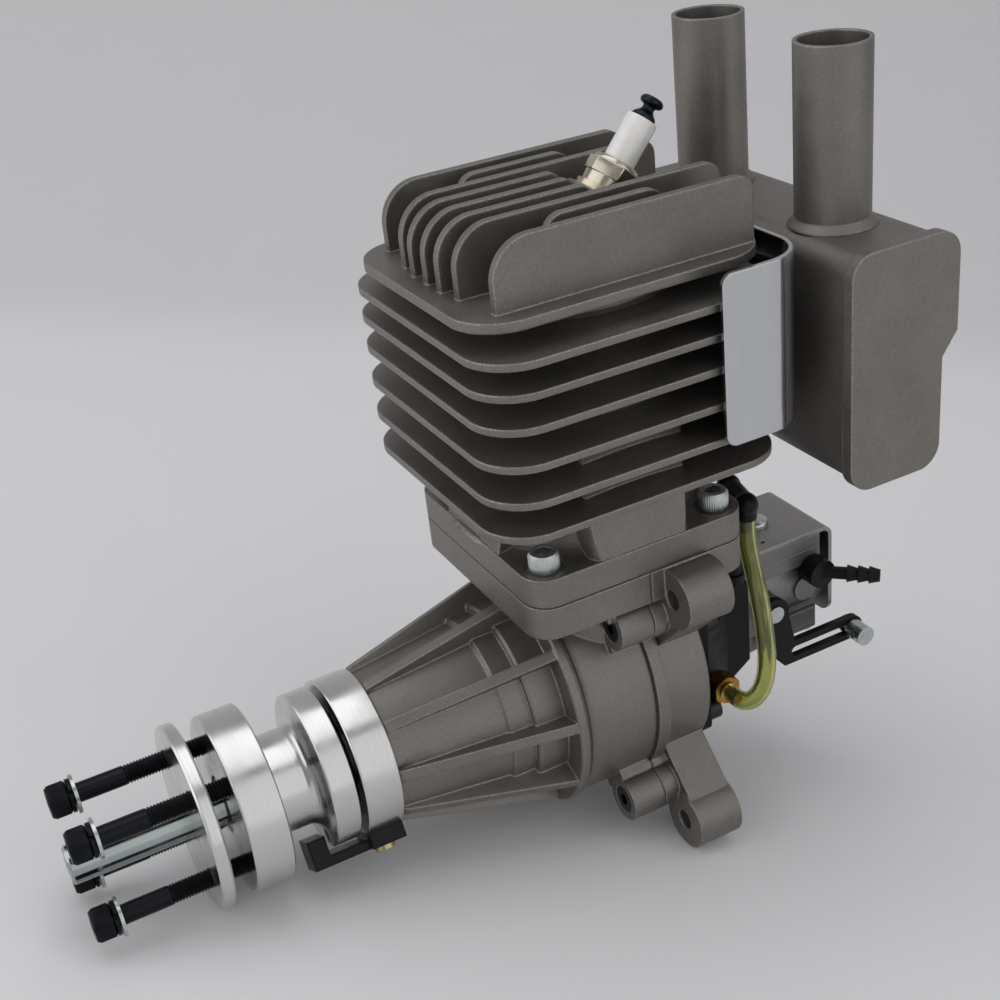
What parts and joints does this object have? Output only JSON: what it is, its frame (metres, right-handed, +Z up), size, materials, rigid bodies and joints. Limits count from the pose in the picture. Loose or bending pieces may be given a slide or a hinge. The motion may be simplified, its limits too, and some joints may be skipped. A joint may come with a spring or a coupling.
{
  "type": "model aircraft engine",
  "caption": "Finned single-cylinder two-stroke model aircraft engine with a ribbed nose, bolted propeller drive, rear diaphragm carburettor and rear box muffler with upright pipes.",
  "frame": {"origin": "on the crank axis in the mounting plane, at the back of the four lugs", "axes": "+Y runs backward along the crank axis with the propeller at -Y, +Z up the cylinder, +X to the right seen from the propeller side looking back"},
  "size_m": [0.101, 0.2278, 0.203],
  "materials": {
    "front_case": "bead blasted casting",
    "rear_case": "bead blasted casting",
    "case_gasket": "pressed fibre sheet",
    "case_screws": "black oxide",
    "base_gasket": "pressed fibre sheet",
    "cylinder": "bead blasted casting",
    "cylinder_screws": "zinc plated",
    "plug_gasket": "yellow plated",
    "plug_shell": "nickel plated",
    "plug_insulator": "glazed ceramic",
    "plug_terminal": "dark blued",
    "crankshaft": "ground steel",
    "bearing_outers": "ground steel",
    "bearing_inners": "ground steel",
    "bearing_balls": "polished balls",
    "shaft_seal": "nitrile",
    "crank_pin": "ground steel",
    "big_end_bearing": "ground rollers",
    "con_rod": "forged",
    "small_end_bearing": "ground rollers",
    "wrist_pin": "ground steel",
    "pin_clips": "spring wire",
    "piston": "turned",
    "piston_rings": "ground",
    "prop_hub": "fine turned",
    "hub_key": "drawn",
    "hub_magnet": "sintered",
    "prop_washer": "fine turned",
    "prop_bolts": "black oxide",
    "lock_washers": "black oxide",
    "flat_washers": "zinc plated",
    "centre_stud": "zinc plated",
    "sensor_ring": "fine turned",
    "sensor_holder": "moulded",
    "sensor_screw": "turned",
    "reed_cage": "moulded",
    "reed_petals": "fibre sheet",
    "intake_block": "moulded",
    "carb_body": "die cast",
    "pump_cover": "die cast",
    "metering_cover": "die cast",
    "top_bracket": "zinc plated sheet",
    "carb_screws": "zinc plated",
    "mixture_screws": "turned",
    "fuel_elbow": "moulded",
    "throttle_shaft": "ground steel",
    "throttle_plate": "sheet",
    "throttle_lever": "moulded",
    "lever_swivel": "nickel plated",
    "choke_shaft": "ground steel",
    "choke_plate": "sheet",
    "choke_lever": "moulded",
    "impulse_barb": "turned",
    "impulse_tube": "clear tinted tube",
    "impulse_elbow": "moulded",
    "muffler": "bead blasted weldment",
    "muffler_cap": "bead blasted",
    "outlet_pipes": "bead blasted",
    "muffler_screws": "black oxide",
    "heat_shield": "polished sheet"
  },
  "bodies": {
    "engine": {"front_case": "front_case", "rear_case": "rear_case", "case_gasket": "case_gasket", "case_screws": "case_screws", "base_gasket": "base_gasket", "cylinder": "cylinder", "cylinder_screws": "cylinder_screws", "plug_gasket": "plug_gasket", "plug_shell": "plug_shell", "plug_insulator": "plug_insulator", "plug_terminal": "plug_terminal", "bearing_outers": "bearing_outers", "shaft_seal": "shaft_seal", "sensor_ring": "sensor_ring", "sensor_holder": "sensor_holder", "sensor_screw": "sensor_screw", "reed_cage": "reed_cage", "reed_petals": "reed_petals", "intake_block": "intake_block", "carb_body": "carb_body", "pump_cover": "pump_cover", "metering_cover": "metering_cover", "top_bracket": "top_bracket", "carb_screws": "carb_screws", "mixture_screws": "mixture_screws", "fuel_elbow": "fuel_elbow", "impulse_barb": "impulse_barb", "impulse_tube": "impulse_tube", "impulse_elbow": "impulse_elbow", "muffler": "muffler", "muffler_cap": "muffler_cap", "outlet_pipes": "outlet_pipes", "muffler_screws": "muffler_screws", "heat_shield": "heat_shield"},
    "crank": {"crankshaft": "crankshaft", "bearing_inners": "bearing_inners", "prop_hub": "prop_hub", "hub_key": "hub_key", "hub_magnet": "hub_magnet", "prop_bolts": "prop_bolts", "lock_washers": "lock_washers", "flat_washers": "flat_washers", "centre_stud": "centre_stud"},
    "balls": {"bearing_balls": "bearing_balls"},
    "pin": {"crank_pin": "crank_pin", "big_end_bearing": "big_end_bearing"},
    "piston_group": {"con_rod": "con_rod", "small_end_bearing": "small_end_bearing", "wrist_pin": "wrist_pin", "pin_clips": "pin_clips", "piston": "piston", "piston_rings": "piston_rings"},
    "washer": {"prop_washer": "prop_washer"},
    "throttle": {"throttle_shaft": "throttle_shaft", "throttle_plate": "throttle_plate", "throttle_lever": "throttle_lever", "lever_swivel": "lever_swivel"},
    "choke": {"choke_shaft": "choke_shaft", "choke_plate": "choke_plate", "choke_lever": "choke_lever"}
  },
  "joints": [
    {"name": "crank_spin", "type": "hinge", "parent": "engine", "child": "crank", "pos_m": [0, 0, 0], "axis": [0, 1, 0], "continuous": true},
    {"name": "ball_spin", "type": "hinge", "parent": "engine", "child": "balls", "pos_m": [0, 0, 0], "axis": [0, 1, 0], "continuous": true},
    {"name": "pin_turn", "type": "hinge", "parent": "crank", "child": "pin", "pos_m": [0, -0.018, 0.00875], "axis": [0, 1, 0], "continuous": true},
    {"name": "piston_travel", "type": "hinge", "parent": "pin", "child": "piston_group", "pos_m": [0, -0.018, 0.0175], "axis": [0, 1, 0], "continuous": true},
    {"name": "washer_slide", "type": "slide", "parent": "crank", "child": "washer", "axis": [0, 1, 0], "range_m": [-0.0218, 0.0055]},
    {"name": "throttle_turn", "type": "hinge", "parent": "engine", "child": "throttle", "pos_m": [0, 0.031, 0.0045], "axis": [1, 0, 0], "range_deg": [-60, 0], "stiffness_Nm_per_rad": 0.01, "springref_deg": 22.92},
    {"name": "choke_turn", "type": "hinge", "parent": "engine", "child": "choke", "pos_m": [0, 0.046, 0.0045], "axis": [1, 0, 0], "range_deg": [0, 90]}
  ],
  "couplings": [
    {"joint": "ball_spin", "follows": "crank_spin", "ratio": 0.38},
    {"joint": "pin_turn", "follows": "crank_spin", "ratio": -2},
    {"joint": "piston_travel", "follows": "crank_spin", "ratio": 1}
  ]
}
